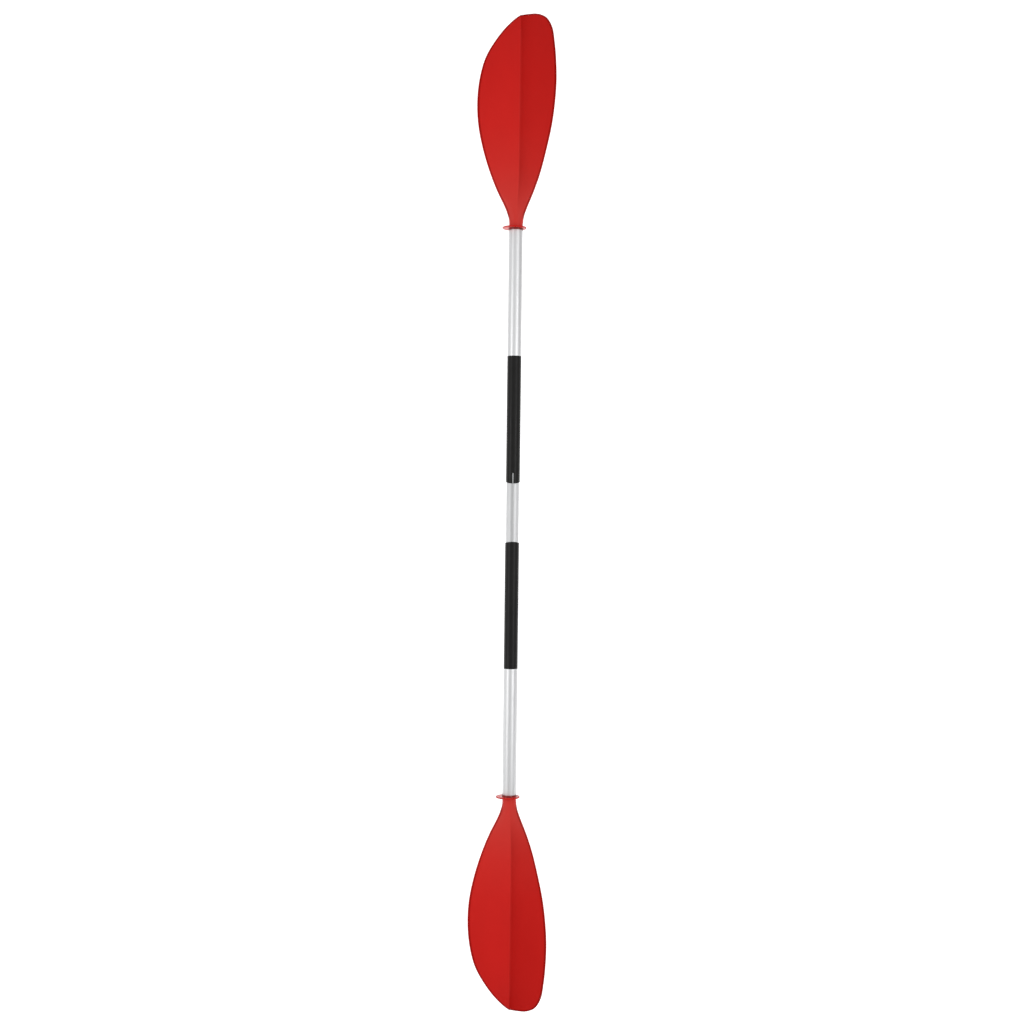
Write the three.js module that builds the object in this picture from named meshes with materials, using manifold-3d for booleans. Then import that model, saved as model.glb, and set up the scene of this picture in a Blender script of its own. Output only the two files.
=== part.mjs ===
// A two-piece kayak paddle, standing upright: blade, tube, grip, joint, grip, tube, blade along Z.
// Units are millimetres. The origin is the middle of the shaft's axis, +Z runs up to the half that
// pulls off, -Y is the way the blades' power faces look and +X is to the right of that view.
import * as THREE from 'three';
import { mergeVertices } from 'three/addons/utils/BufferGeometryUtils.js';
import Module from 'manifold-3d';

const wasm = await Module();
wasm.setup();

// Driving dimensions.
const PADDLE_LENGTH = 2300;
const SEAM = 658.8; // from the middle to where a blade's neck meets its tube
const SIDES = 36; // facets round every turned piece
const CUTTER_SIDES = 16;

const TUBE = { outer: 15.6, wall: 1, mouth: 76.9 };
const CENTRE = { outer: 14.45, wall: 1.2, low: -200, high: 196 };
const GRIP = { inner: 15.7, outer: 16.1, far: 362, near: 71.2, bevel: 0.2 };
const UPPER_GRIP_SLANT = 4.5; // how much further the sleeve reaches at the front than at the sides
const LOWER_GRIP_SLANT = 3.2;
const SLOT = { width: 3, top: 91.5, bottom: 50, depth: 8 };

const PIN = { radius: 2, length: 30.9 };
const PIN_HOLE = { radius: 2.3, length: 36 };
const BLADE_PINS = [24, 52]; // from the seam towards the middle
const CENTRE_PINS = [-112, -176]; // heights
const BUTTON = { z: 140, radius: 3.1, proud: 17.9, dome: 1.2 };
const BUTTON_HOLES = { centre: 3.4, tube: 3.6, grip: 5.2 }; // radii
const FEATHER_ANGLES = [-60, 0, 60]; // degrees either side of the back
const CLIP = { width: 9, thickness: 0.7, y: 12.2, foot: 130, knee: 148, bend: 172, pinch: 2.4 };
const GROOVE = { z: 106, floor: 13.2, half: 1.5, ramp: 1.2 };
const SEAL = { inner: 13.3, outer: 14.5, half: 1, round: 0.4 };
const CAP = { radius: 13, rim: 14.3, depth: 14, lip: 2.2, chamfer: 0.8 };
const BUNG = { radius: 14.2, wall: 1.6, floor: 2.4, low: 530, high: 560 };
const RING = { bore: 15.75, hub: 16.8, low: -5, high: 1.4, rim: 27.8, web: 0.9, bead: 1.5, dish: 0.6 };
const RING_OFFSET = -3.5; // the flange hangs to one side of its collar

const BLADE_TIP = PADDLE_LENGTH / 2 - SEAM; // blade length from the seam
const SPIGOT = { radius: 14.3, length: 72, chamfer: 1.5 };
const GAP = 0.15; // half of the space between the neck's shoulder and the tube's end
const PLATE = 4.2; // blade thickness
const RIDGE = { height: 9, offset: 4.4, power: 1.25, fade: 60, least: 0.35 }; // it fades towards the tip
const CREASE = { right: { share: 0.4, width: 11 }, left: { share: -0.05, width: 7 } }; // beside the crest
const SPOON = { rise: 22, power: 2.2 }; // how far the tip curves towards the power face
const RIB = { height: 10, width: 11, length: 360 }; // stiffener on the blade's back
const NECK = { collar: 2, round: 12, blend: 135 }; // ends of the ring's seat, the round neck and its blend
const FAN_START = 380; // above this, rows of the blade's surface fan out over the tip
const BLADE_ROWS = 28;
const ROW_CROWDING = 0.04; // rows lie closer together at the neck and the tip
const BLADE_COLUMNS = 7; // from the ridge to one edge
const EDGE_STEPS = 500;

// The blade's two edges, from the neck to the point where the ridge meets the tip.
// Each point is [x, distance from the seam].
const LEFT_EDGE = [
  [-15.6, 0], [-15.6, 10], [-16.3, 20], [-19, 30], [-24.9, 46], [-45.4, 88], [-62.2, 130], [-79.2, 185],
  [-90.2, 240], [-92.9, 290], [-88.2, 341], [-75, 390], [-51.9, 430], [-26, 462], [-3.3, 482], [5.4, 487.3],
];
const RIGHT_EDGE = [
  [15.6, 0], [15.6, 2], [16.3, 9], [17.4, 20], [19.4, 30], [24.8, 46], [41.5, 88], [55.5, 130], [69.3, 185],
  [80.8, 240], [87.2, 290], [90.2, 341], [88.5, 390], [84.5, 430], [78.4, 462], [66, 482], [54, 488.6],
  [40, BLADE_TIP], [28, 490.4], [16, 488.9], [5.4, 487.3],
];

const redPlastic = new THREE.MeshStandardMaterial({ color: 0xc3261f, roughness: 0.45, metalness: 0 });
const softRed = new THREE.MeshStandardMaterial({ color: 0xd8342c, roughness: 0.3, metalness: 0 });
const satinAluminium = new THREE.MeshStandardMaterial({ color: 0xd7d8da, roughness: 0.35, metalness: 0.9 });
const blackSleeve = new THREE.MeshStandardMaterial({ color: 0x2b2a29, roughness: 0.7, metalness: 0 });
const steel = new THREE.MeshStandardMaterial({ color: 0xb9bcc0, roughness: 0.3, metalness: 1 });
const blackRubber = new THREE.MeshStandardMaterial({ color: 0x151515, roughness: 0.6, metalness: 0 });
const greyPlastic = new THREE.MeshStandardMaterial({ color: 0x3a3b3d, roughness: 0.5, metalness: 0 });

const smooth = (value) => THREE.MathUtils.smoothstep(value, 0, 1);

// ---- solids and cuts ----

function positionsOnly(geometry) {
  const bare = geometry.clone();
  bare.deleteAttribute('normal');
  bare.deleteAttribute('uv');
  return mergeVertices(bare, 1e-4);
}

function toSolid(geometry) {
  const bare = positionsOnly(geometry);
  return new wasm.Manifold(new wasm.Mesh({
    numProp: 3,
    vertProperties: new Float32Array(bare.attributes.position.array),
    triVerts: new Uint32Array(bare.index.array),
  }));
}

function toGeometry(solid) {
  const mesh = solid.getMesh();
  return facesToGeometry(Array.from(mesh.vertProperties), Array.from(mesh.triVerts));
}

function facesToGeometry(positions, indices) {
  const geometry = new THREE.BufferGeometry();
  geometry.setAttribute('position', new THREE.Float32BufferAttribute(positions, 3));
  geometry.setIndex(indices);
  geometry.computeVertexNormals();
  return geometry;
}

function cut(geometry, cutters) {
  const left = cutters.reduce((solid, cutter) => solid.subtract(toSolid(cutter)), toSolid(geometry));
  return toGeometry(left);
}

// The same shape on the other side of the plane z = 0.
function mirrored(geometry) {
  const bare = positionsOnly(geometry);
  bare.scale(1, 1, -1);
  const flipped = Array.from(bare.index.array);
  for (let i = 0; i < flipped.length; i += 3) {
    [flipped[i], flipped[i + 1]] = [flipped[i + 1], flipped[i]];
  }
  return facesToGeometry(Array.from(bare.attributes.position.array), flipped);
}

// A closed outline of [radius, z] turned round Z. The outline runs up the outside and down the inside.
function turned(outline) {
  const points = [...outline, outline[0]].map(([radius, z]) => new THREE.Vector2(radius, z));
  return new THREE.LatheGeometry(points, SIDES).rotateX(Math.PI / 2);
}

// An open profile of [radius, z] that starts and ends on the axis, turned round Z.
function turnedSolid(profile) {
  const points = profile.map(([radius, z]) => new THREE.Vector2(radius, z));
  return new THREE.LatheGeometry(points, SIDES).rotateX(Math.PI / 2);
}

function tubeBetween(inner, outer, low, high) {
  return turned([[outer, low], [outer, high], [inner, high], [inner, low]]);
}

// A round cutter or pin through the axis along X.
function crossRod({ radius, length }, z) {
  const rod = new THREE.CylinderGeometry(radius, radius, length, CUTTER_SIDES);
  return rod.rotateZ(Math.PI / 2).translate(0, 0, z);
}

// A round cutter from the axis out through one wall, turned from the back of the shaft by some degrees.
function wallHole(radius, z, degrees) {
  const reach = 2 * TUBE.outer;
  const hole = new THREE.CylinderGeometry(radius, radius, reach, CUTTER_SIDES);
  return hole.translate(0, reach / 2, z).rotateZ(THREE.MathUtils.degToRad(degrees));
}

// ---- shaft ----

function centreTube() {
  const { outer, wall, low, high } = CENTRE;
  const { z, floor, half, ramp } = GROOVE;
  const groove = [[outer, z - half - ramp], [floor, z - half], [floor, z + half], [outer, z + half + ramp]];
  const outside = [[outer, low], ...groove, [outer, high]];
  const inside = outside.map(([radius, height]) => [radius - wall, height]).reverse();
  const holes = [
    ...CENTRE_PINS.map((height) => crossRod(PIN_HOLE, height)),
    wallHole(BUTTON_HOLES.centre, BUTTON.z, 0),
  ];
  return cut(turned([...outside, ...inside]), holes);
}

function shaftTube() {
  const tube = tubeBetween(TUBE.outer - TUBE.wall, TUBE.outer, TUBE.mouth, SEAM - GAP);
  return cut(tube, BLADE_PINS.map((depth) => crossRod(PIN_HOLE, SEAM - depth)));
}

function jointSlot() {
  const { width, top, bottom, depth } = SLOT;
  const outline = new THREE.Shape();
  outline.moveTo(-width / 2, bottom);
  outline.lineTo(width / 2, bottom);
  outline.lineTo(width / 2, top - width / 2);
  outline.absarc(0, top - width / 2, width / 2, 0, Math.PI, false);
  outline.closePath();
  const bar = new THREE.ExtrudeGeometry(outline, { depth, bevelEnabled: false, curveSegments: 8 });
  return bar.rotateX(Math.PI / 2).translate(0, CENTRE.wall - CENTRE.outer, 0);
}

function featherHoles(radius) {
  return FEATHER_ANGLES.map((angle) => wallHole(radius, BUTTON.z, angle));
}

// A thin sleeve whose end nearest the middle is cut on a slant, longest at the front.
function gripSleeve(slant) {
  const { inner, outer, far, near, bevel } = GRIP;
  const sleeve = turned([
    [outer - bevel, near], [outer, near + bevel], [outer, far - bevel],
    [outer - bevel, far], [inner, far], [inner, near],
  ]);
  const place = sleeve.attributes.position;
  for (let i = 0; i < place.count; i += 1) {
    const share = place.getZ(i) < (near + far) / 2 ? 1 : 0;
    place.setZ(i, place.getZ(i) + (share * slant * place.getY(i)) / outer);
  }
  return sleeve;
}

function jointSeal() {
  const { inner, outer, half, round } = SEAL;
  return turned([
    [inner + round, -half], [outer - round, -half], [outer, -half + round], [outer, half - round],
    [outer - round, half], [inner + round, half], [inner, half - round], [inner, -half + round],
  ]);
}

function centreCap() {
  const { radius, rim, depth, lip, chamfer } = CAP;
  const low = CENTRE.high - depth;
  const seat = CENTRE.high + 2 * GAP;
  return turnedSolid([
    [0, low], [radius - chamfer, low], [radius, low + chamfer], [radius, seat], [rim, seat],
    [rim, seat + lip - chamfer], [rim - chamfer, seat + lip], [0, seat + lip],
  ]);
}

// A moulded cup that closes the tube's bore, open towards the blade.
function shaftBung() {
  const { radius, wall, floor, low, high } = BUNG;
  return turnedSolid([
    [0, low], [radius - wall, low], [radius, low + wall], [radius, high],
    [radius - wall, high], [radius - wall, low + floor], [0, low + floor],
  ]);
}

// A V-shaped spring strip with the button drawn from its back leg.
function snapButtonClip() {
  const { width, thickness, y, foot, knee, bend, pinch } = CLIP;
  const outline = new THREE.Shape();
  outline.moveTo(y, foot);
  outline.lineTo(y, knee);
  outline.lineTo(pinch, bend);
  outline.absarc(0, bend, pinch, 0, Math.PI, false);
  outline.lineTo(-y, knee);
  outline.lineTo(-y, foot);
  outline.lineTo(-y + thickness, foot);
  outline.lineTo(-y + thickness, knee);
  outline.lineTo(-pinch + thickness, bend);
  outline.absarc(0, bend, pinch - thickness, Math.PI, 0, true);
  outline.lineTo(y - thickness, knee);
  outline.lineTo(y - thickness, foot);
  outline.closePath();
  const strip = new THREE.ExtrudeGeometry(outline, { depth: width, bevelEnabled: false, curveSegments: 6 });
  // The outline is drawn in Y and Z and spreads along X.
  strip.applyMatrix4(new THREE.Matrix4().set(0, 0, 1, -width / 2, 1, 0, 0, 0, 0, 1, 0, 0, 0, 0, 0, 1));
  return toGeometry(toSolid(strip).add(toSolid(drawnButton(y - thickness / 2))));
}

function drawnButton(base) {
  const { radius, proud, dome, z } = BUTTON;
  const profile = [
    [0, base], [radius, base], [radius, proud - dome], [radius - dome / 2, proud - dome / 3], [0, proud],
  ];
  const points = profile.map(([r, height]) => new THREE.Vector2(r, height));
  return new THREE.LatheGeometry(points, CUTTER_SIDES).translate(0, 0, z);
}

// A soft collar on the tube's end, with a thin flange that sheds drips.
function dripRing() {
  const { bore, hub, low, high, rim, web, bead, dish } = RING;
  const ring = turned([
    [bore, low], [hub, low], [hub, -web],
    [rim - 2 * bead, dish - web], [rim - bead, dish - bead], [rim, dish],
    [rim - bead, dish + bead], [rim - 2 * bead, dish + web],
    [hub, web], [hub, high], [bore, high],
  ]);
  const place = ring.attributes.position;
  for (let i = 0; i < place.count; i += 1) {
    const out = Math.max(0, Math.hypot(place.getX(i), place.getY(i)) - hub);
    place.setX(i, place.getX(i) + (RING_OFFSET * out) / (rim - hub));
  }
  return ring;
}

// ---- blade ----

function edgeCurve(points) {
  const knots = points.map(([x, s]) => new THREE.Vector3(x, 0, s));
  return new THREE.CatmullRomCurve3(knots, false, 'centripetal').getSpacedPoints(EDGE_STEPS);
}

// The edge point that a row starting at height s on the ridge runs out to.
function edgePoint(edge, s) {
  const start = edge.findIndex((point) => point.z >= Math.min(s, FAN_START));
  if (s <= FAN_START) {
    const [below, above] = [edge[Math.max(start - 1, 0)], edge[Math.max(start, 1)]];
    return below.clone().lerp(above, (s - below.z) / (above.z - below.z));
  }
  const tip = edge[edge.length - 1];
  const along = start + ((edge.length - 1 - start) * (s - FAN_START)) / (tip.z - FAN_START);
  const index = Math.min(Math.floor(along), edge.length - 2);
  return edge[index].clone().lerp(edge[index + 1], along - index);
}

// How high the power face stands above the plate, a share t of the way from ridge to edge.
function crownShare(t, rowLength, crease) {
  const crest = Math.exp((-t * rowLength) / crease.width);
  return (1 - t) * ((1 - crease.share) * Math.pow(1 - t, RIDGE.power - 1) + crease.share * crest);
}

// Front and back heights of the blade's surface, for a point a share t of the way from ridge to edge.
function bladeHeights(x, s, ridgeS, t, rowLength, crease) {
  const flat = smooth((s - NECK.round) / (NECK.blend - NECK.round));
  const spoon = SPOON.rise * Math.pow(Math.max(s, 0) / BLADE_TIP, SPOON.power);
  const round = TUBE.outer * Math.sqrt(Math.max(0, 1 - t * t));
  const inset = Math.min(1, ((1 - t) * rowLength) / (PLATE / 2));
  const half = (PLATE / 2) * Math.sqrt(Math.max(0, 1 - (1 - inset) ** 2));
  const tipFade = Math.min(1, (BLADE_TIP - ridgeS) / RIDGE.fade + RIDGE.least);
  const crown = RIDGE.height * tipFade * crownShare(t, rowLength, crease);
  const rib = RIB.height * smooth(1 - s / RIB.length) * Math.exp(-((x / RIB.width) ** 2));
  const front = (1 - flat) * round + flat * (half + crown);
  const back = (1 - flat) * round + flat * (half - crown + rib);
  return { front: -spoon - front, back: -spoon + back };
}

// One closed section of the blade: across the front from left to right, then back behind.
function bladeSection(left, right, ridgeS) {
  const ridge = new THREE.Vector3(RIDGE.offset * smooth(ridgeS / NECK.blend), 0, ridgeS);
  const pointOn = (edge, t, side) => {
    const place = ridge.clone().lerp(edge, t);
    const crease = edge === right ? CREASE.right : CREASE.left;
    const heights = bladeHeights(place.x, place.z, ridgeS, t, ridge.distanceTo(edge), crease);
    return [place.x, heights[side], place.z];
  };
  const step = Math.PI / 2 / BLADE_COLUMNS;
  const shares = Array.from({ length: BLADE_COLUMNS + 1 }, (_, k) => Math.sin(k * step));
  const inward = [...shares].reverse();
  return [
    ...inward.map((t) => pointOn(left, t, 'front')),
    ...shares.slice(1).map((t) => pointOn(right, t, 'front')),
    ...inward.slice(1).map((t) => pointOn(right, t, 'back')),
    ...shares.slice(1, -1).map((t) => pointOn(left, t, 'back')),
  ];
}

function roundSection(radius, s) {
  const edges = [-1, 1].map((side) => new THREE.Vector3(side * TUBE.outer, 0, 0));
  const full = bladeSection(edges[0], edges[1], 0);
  return full.map(([x, y]) => [(x * radius) / TUBE.outer, (y * radius) / TUBE.outer, s]);
}

// Joins a stack of equal rings of points, with a single point closing each end.
function loft(sections, first, last) {
  const count = sections[0].length;
  const positions = [first, ...sections.flat(), last].flat();
  const end = sections.length * count + 1;
  const indices = [];
  for (let k = 0; k < count; k += 1) {
    const next = (k + 1) % count;
    indices.push(0, 1 + next, 1 + k);
    for (let row = 0; row < sections.length - 1; row += 1) {
      const [a, b] = [1 + row * count + k, 1 + row * count + next];
      indices.push(a, b, b + count, a, b + count, a + count);
    }
    indices.push(end - count + k, end - count + next, end);
  }
  return facesToGeometry(positions, indices);
}

function blade() {
  const left = edgeCurve(LEFT_EDGE);
  const right = edgeCurve(RIGHT_EDGE);
  const tip = left[left.length - 1];
  const { radius, length, chamfer } = SPIGOT;
  const spigot = [
    roundSection(radius - chamfer, -length),
    roundSection(radius, -length + chamfer),
    roundSection(radius, GAP),
    roundSection(TUBE.outer, GAP),
    roundSection(TUBE.outer, NECK.collar),
  ];
  const rows = Array.from({ length: BLADE_ROWS }, (_, j) => {
    const share = (j + 1) / (BLADE_ROWS + 1);
    const s = tip.z * (share - ROW_CROWDING * Math.sin(2 * Math.PI * share));
    return bladeSection(edgePoint(left, s), edgePoint(right, s), s);
  });
  const point = [tip.x, -SPOON.rise * Math.pow(tip.z / BLADE_TIP, SPOON.power), tip.z];
  const whole = loft([...spigot, ...rows], [0, 0, -length], point).translate(0, 0, SEAM);
  return cut(whole, BLADE_PINS.map((depth) => crossRod(PIN_HOLE, SEAM - depth)));
}

// ---- assembly ----

function part(name, geometry, material) {
  const mesh = new THREE.Mesh(geometry, material);
  mesh.name = name;
  return mesh;
}

function upperHalf(bladeShape, tubeShape) {
  const group = new THREE.Group();
  const tube = cut(tubeShape, [jointSlot(), ...featherHoles(BUTTON_HOLES.tube)]);
  const grip = cut(gripSleeve(UPPER_GRIP_SLANT), [jointSlot(), ...featherHoles(BUTTON_HOLES.grip)]);
  group.add(part('upper_blade', bladeShape, redPlastic));
  group.add(part('upper_shaft_tube', tube, satinAluminium));
  group.add(part('upper_grip', grip, blackSleeve));
  group.add(part('upper_shaft_bung', shaftBung(), greyPlastic));
  return group;
}

function lowerHalf(bladeShape, tubeShape) {
  const group = new THREE.Group();
  group.add(part('lower_blade', mirrored(bladeShape), redPlastic));
  const holes = CENTRE_PINS.map((z) => crossRod(PIN_HOLE, z));
  group.add(part('lower_shaft_tube', cut(mirrored(tubeShape), holes), satinAluminium));
  group.add(part('lower_grip', mirrored(gripSleeve(LOWER_GRIP_SLANT)), blackSleeve));
  group.add(part('lower_shaft_bung', mirrored(shaftBung()), greyPlastic));
  group.add(part('centre_tube', centreTube(), satinAluminium));
  group.add(part('centre_tube_cap', centreCap(), greyPlastic));
  return group;
}

function fasteners() {
  const group = new THREE.Group();
  BLADE_PINS.forEach((depth, i) => {
    group.add(part(`upper_blade_pin_${i + 1}`, crossRod(PIN, SEAM - depth), steel));
    group.add(part(`lower_blade_pin_${i + 1}`, crossRod(PIN, depth - SEAM), steel));
  });
  CENTRE_PINS.forEach((z, i) => {
    group.add(part(`centre_tube_pin_${i + 1}`, crossRod(PIN, z), steel));
  });
  return group;
}

function slidingPieces() {
  const group = new THREE.Group();
  const seal = part('joint_seal_ring', jointSeal(), blackRubber);
  seal.position.z = GROOVE.z;
  const upperRing = part('upper_drip_ring', dripRing(), softRed);
  upperRing.position.z = SEAM;
  const lowerRing = part('lower_drip_ring', mirrored(dripRing()), softRed);
  lowerRing.position.z = -SEAM;
  group.add(seal, part('snap_button_clip', snapButtonClip(), steel), upperRing, lowerRing);
  return group;
}

const bladeShape = blade();
const tubeShape = shaftTube();
const paddle = new THREE.Group();
paddle.add(upperHalf(bladeShape, tubeShape), lowerHalf(bladeShape, tubeShape), fasteners(), slidingPieces());

export default paddle;
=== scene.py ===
import math

import bpy
import numpy as np
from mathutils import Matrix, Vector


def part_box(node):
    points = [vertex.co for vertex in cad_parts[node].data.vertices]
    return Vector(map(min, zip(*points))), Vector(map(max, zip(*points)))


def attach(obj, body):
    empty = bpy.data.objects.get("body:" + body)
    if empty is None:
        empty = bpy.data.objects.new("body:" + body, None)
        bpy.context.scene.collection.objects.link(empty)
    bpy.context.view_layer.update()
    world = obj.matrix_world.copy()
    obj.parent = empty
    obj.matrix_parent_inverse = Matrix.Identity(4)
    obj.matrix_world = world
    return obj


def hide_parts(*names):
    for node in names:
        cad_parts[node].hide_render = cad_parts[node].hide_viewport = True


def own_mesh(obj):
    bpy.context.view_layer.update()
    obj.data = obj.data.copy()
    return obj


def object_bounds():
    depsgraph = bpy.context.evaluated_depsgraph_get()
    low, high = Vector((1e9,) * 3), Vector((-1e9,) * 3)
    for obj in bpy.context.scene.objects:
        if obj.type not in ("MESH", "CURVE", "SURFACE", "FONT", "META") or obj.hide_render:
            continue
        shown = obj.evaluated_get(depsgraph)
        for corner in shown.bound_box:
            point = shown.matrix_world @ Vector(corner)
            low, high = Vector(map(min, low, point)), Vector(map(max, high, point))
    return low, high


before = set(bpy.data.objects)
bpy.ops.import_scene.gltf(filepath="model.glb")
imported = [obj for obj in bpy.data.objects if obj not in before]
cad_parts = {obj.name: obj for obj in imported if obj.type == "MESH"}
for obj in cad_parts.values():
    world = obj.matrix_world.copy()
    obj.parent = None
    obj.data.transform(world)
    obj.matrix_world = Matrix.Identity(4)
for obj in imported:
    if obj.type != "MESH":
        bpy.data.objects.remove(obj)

CAD_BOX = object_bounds()
MM = 0.001
SEGMENTS = 96
FINE_SEGMENTS = 144
SHARP_ANGLE = 32
MOST_ROUNDING = 0.45  # the most of a side's length that one rounded corner takes up

# ---- places read from the frame ----


def low(node):
    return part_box(node)[0]


def high(node):
    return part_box(node)[1]


TUBE_RADIUS = high("upper_shaft_tube").x
TUBE_MOUTH = low("upper_shaft_tube").z
TUBE_END = high("upper_shaft_tube").z
GAP = 0.15 * MM
SEAM = TUBE_END + GAP
TUBE_WALL = 1 * MM
CENTRE_WALL = 1.2 * MM
CENTRE_RADIUS = high("centre_tube").x
CENTRE_LOW, CENTRE_HIGH = low("centre_tube").z, high("centre_tube").z
GRIP_RADIUS = high("upper_grip").x
GRIP_BORE = GRIP_RADIUS - 0.4 * MM
GRIP_FAR = high("upper_grip").z
GRIP_NEAR = 71.2 * MM
UPPER_SLANT = GRIP_NEAR - low("upper_grip").z
LOWER_SLANT = GRIP_NEAR + high("lower_grip").z
BLADE_TIP = high("upper_blade").z - SEAM
PLATE = 4.2 * MM


def centre_of(node):
    return (low(node) + high(node)) / 2


# ---- meshes ----


def new_object(name, points, faces):
    """An object from points and faces, shaded smooth except across sharp edges."""
    mesh = bpy.data.meshes.new(name)
    mesh.from_pydata([tuple(p) for p in points], [], [tuple(f) for f in faces])
    mesh.validate()
    piece = bpy.data.objects.new(name, mesh)
    bpy.context.scene.collection.objects.link(piece)
    shade(piece)
    return piece


def shade(piece, angle=SHARP_ANGLE):
    piece.data.polygons.foreach_set("use_smooth", [True] * len(piece.data.polygons))
    piece.data.set_sharp_from_angle(angle=math.radians(angle))


def rounded(outline, radius, steps=4, closed=True):
    """The outline with each corner turned into a short curve."""
    points = [np.array(p, float) for p in outline]
    count = len(points)
    result = []
    for i, corner in enumerate(points):
        if not closed and i in (0, count - 1):
            result.append(corner)
            continue
        before, after = points[i - 1], points[(i + 1) % count]
        reach_back = min(radius, MOST_ROUNDING * np.linalg.norm(before - corner))
        reach_on = min(radius, MOST_ROUNDING * np.linalg.norm(after - corner))
        start = corner + (before - corner) * reach_back / np.linalg.norm(before - corner)
        end = corner + (after - corner) * reach_on / np.linalg.norm(after - corner)
        for share in np.linspace(0, 1, steps + 1):
            result.append((1 - share) ** 2 * start + 2 * share * (1 - share) * corner + share**2 * end)
    return result


def turned(outline, segments=SEGMENTS):
    """Points and faces of a closed outline of (radius, z), counter-clockwise, turned round Z."""
    count = len(outline)
    points, faces = [], []
    for k in range(segments):
        angle = 2 * math.pi * k / segments
        points += [(r * math.cos(angle), r * math.sin(angle), z) for r, z in outline]
    for k in range(segments):
        here, there = k * count, (k + 1) % segments * count
        for i in range(count):
            on = (i + 1) % count
            faces.append((here + i, there + i, there + on, here + on))
    return points, faces


def turned_solid(profile, segments=SEGMENTS):
    """Points and faces of a profile that starts and ends on the axis, turned round Z."""
    rings = profile[1:-1]
    count = len(rings)
    points, faces = [], []
    for k in range(segments):
        angle = 2 * math.pi * k / segments
        points += [(r * math.cos(angle), r * math.sin(angle), z) for r, z in rings]
    first, last = len(points), len(points) + 1
    points += [(0, 0, profile[0][1]), (0, 0, profile[-1][1])]
    for k in range(segments):
        here, there = k * count, (k + 1) % segments * count
        faces.append((first, there, here))
        for i in range(count - 1):
            faces.append((here + i, there + i, there + i + 1, here + i + 1))
        faces.append((last, here + count - 1, there + count - 1))
    return points, faces


def mirrored(shape):
    """The same points and faces on the other side of the plane z = 0."""
    points, faces = shape
    return [(x, y, -z) for x, y, z in points], [tuple(reversed(f)) for f in faces]


def raised(shape, height):
    points, faces = shape
    return [(x, y, z + height) for x, y, z in points], faces


def cross_rod(radius, length, z, segments=32, round_edge=0.0):
    """A round rod along X at a height, with its edges rounded if asked."""
    half = length / 2
    profile = [(0, -half), (radius, -half), (radius, half), (0, half)]
    if round_edge:
        profile = rounded(profile, round_edge, closed=False)
    points, faces = turned_solid(profile, segments)
    return [(along, x, y + z) for x, y, along in points], faces


def wall_cutter(radius, z, degrees, segments=40):
    """A rod from the axis out through one wall, turned from the back by some degrees."""
    reach = 2 * TUBE_RADIUS
    points, faces = turned_solid([(0, 0), (radius, 0), (radius, reach), (0, reach)], segments)
    turn = math.radians(degrees)
    cos, sin = math.cos(turn), math.sin(turn)
    return [(side * cos - out * sin, side * sin + out * cos, z - up) for side, up, out in points], faces


def slot_cutter(width, bottom, top, near, far, steps=16):
    """A bar with a round upper end, from y = near to y = far."""
    half = width / 2
    outline = [(-half, bottom), (half, bottom)]
    for k in range(steps + 1):
        angle = math.pi * k / steps
        outline.append((half * math.cos(angle), top - half + half * math.sin(angle)))
    count = len(outline)
    points = [(x, near, z) for x, z in outline] + [(x, far, z) for x, z in outline]
    faces = [tuple(range(count)), tuple(reversed(range(count, 2 * count)))]
    for i in range(count):
        on = (i + 1) % count
        faces.append((on, i, count + i, count + on))
    return points, faces


def cut(piece, cutters):
    """Cuts shapes out of a piece, for good."""
    tools = []
    for i, (points, faces) in enumerate(cutters):
        tool = new_object(f"{piece.name}_cutter_{i}", points, faces)
        modifier = piece.modifiers.new(f"cut_{i}", "BOOLEAN")
        modifier.operation, modifier.solver, modifier.object = "DIFFERENCE", "EXACT", tool
        tools.append(tool)
    bpy.context.view_layer.update()
    depsgraph = bpy.context.evaluated_depsgraph_get()
    result = bpy.data.meshes.new_from_object(piece.evaluated_get(depsgraph))
    piece.modifiers.clear()
    piece.data = result
    for tool in tools:
        bpy.data.objects.remove(tool)
    shade(piece)


# ---- blade ----

# The edges from the neck to the point where the ridge meets the tip: (x, distance from seam), in mm.
LEFT_EDGE = [
    (-15.6, 0), (-15.6, 10), (-16.3, 20), (-19, 30), (-24.9, 46), (-45.4, 88), (-62.2, 130),
    (-79.2, 185), (-90.2, 240), (-92.9, 290), (-88.2, 341), (-75, 390), (-51.9, 430), (-26, 462),
    (-3.3, 482), (5.4, 487.3),
]
RIGHT_EDGE = [
    (15.6, 0), (15.6, 2), (16.3, 9), (17.4, 20), (19.4, 30), (24.8, 46), (41.5, 88), (55.5, 130),
    (69.3, 185), (80.8, 240), (87.2, 290), (90.2, 341), (88.5, 390), (84.5, 430), (78.4, 462),
    (66, 482), (54, 488.6), (40, 491.2), (28, 490.4), (16, 488.9), (5.4, 487.3),
]
RIDGE = {"height": 9 * MM, "offset": 4.4 * MM, "power": 1.25, "fade": 60 * MM, "least": 0.35}
LEFT_CREASE = {"share": -0.05, "width": 7 * MM}
RIGHT_CREASE = {"share": 0.4, "width": 11 * MM}
SPOON = {"rise": 22 * MM, "power": 2.2}
RIB = {"height": 10 * MM, "width": 11 * MM, "length": 360 * MM}
NECK = {"collar": 2 * MM, "first_row": 3 * MM, "round": 12 * MM, "blend": 135 * MM}
FAN_START = 380 * MM
SPIGOT = {"radius": 14.3 * MM, "length": 72 * MM, "chamfer": 1.5 * MM}
LIP = {"height": 0.35 * MM, "from_edge": 4.5 * MM, "width": 2.2 * MM}
RIM_WIDTH, RIM_FADE = 4.6 * MM, 32 * MM
NECK_SHEEN_REACH = 490 * MM
HOLLOW_SHADE_FLOOR, HOLLOW_SHADE_WIDTH, RIDGE_WIDTH = 0.35, 14 * MM, 3 * MM
BLADE_ROWS, ROW_CROWDING = 190, 0.05
RIDGE_COLUMNS, FLAT_COLUMNS, EDGE_COLUMNS = 4, 22, 8
RIDGE_BAND, RIDGE_BAND_SHARE = 1.5 * MM, 0.1
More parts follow.
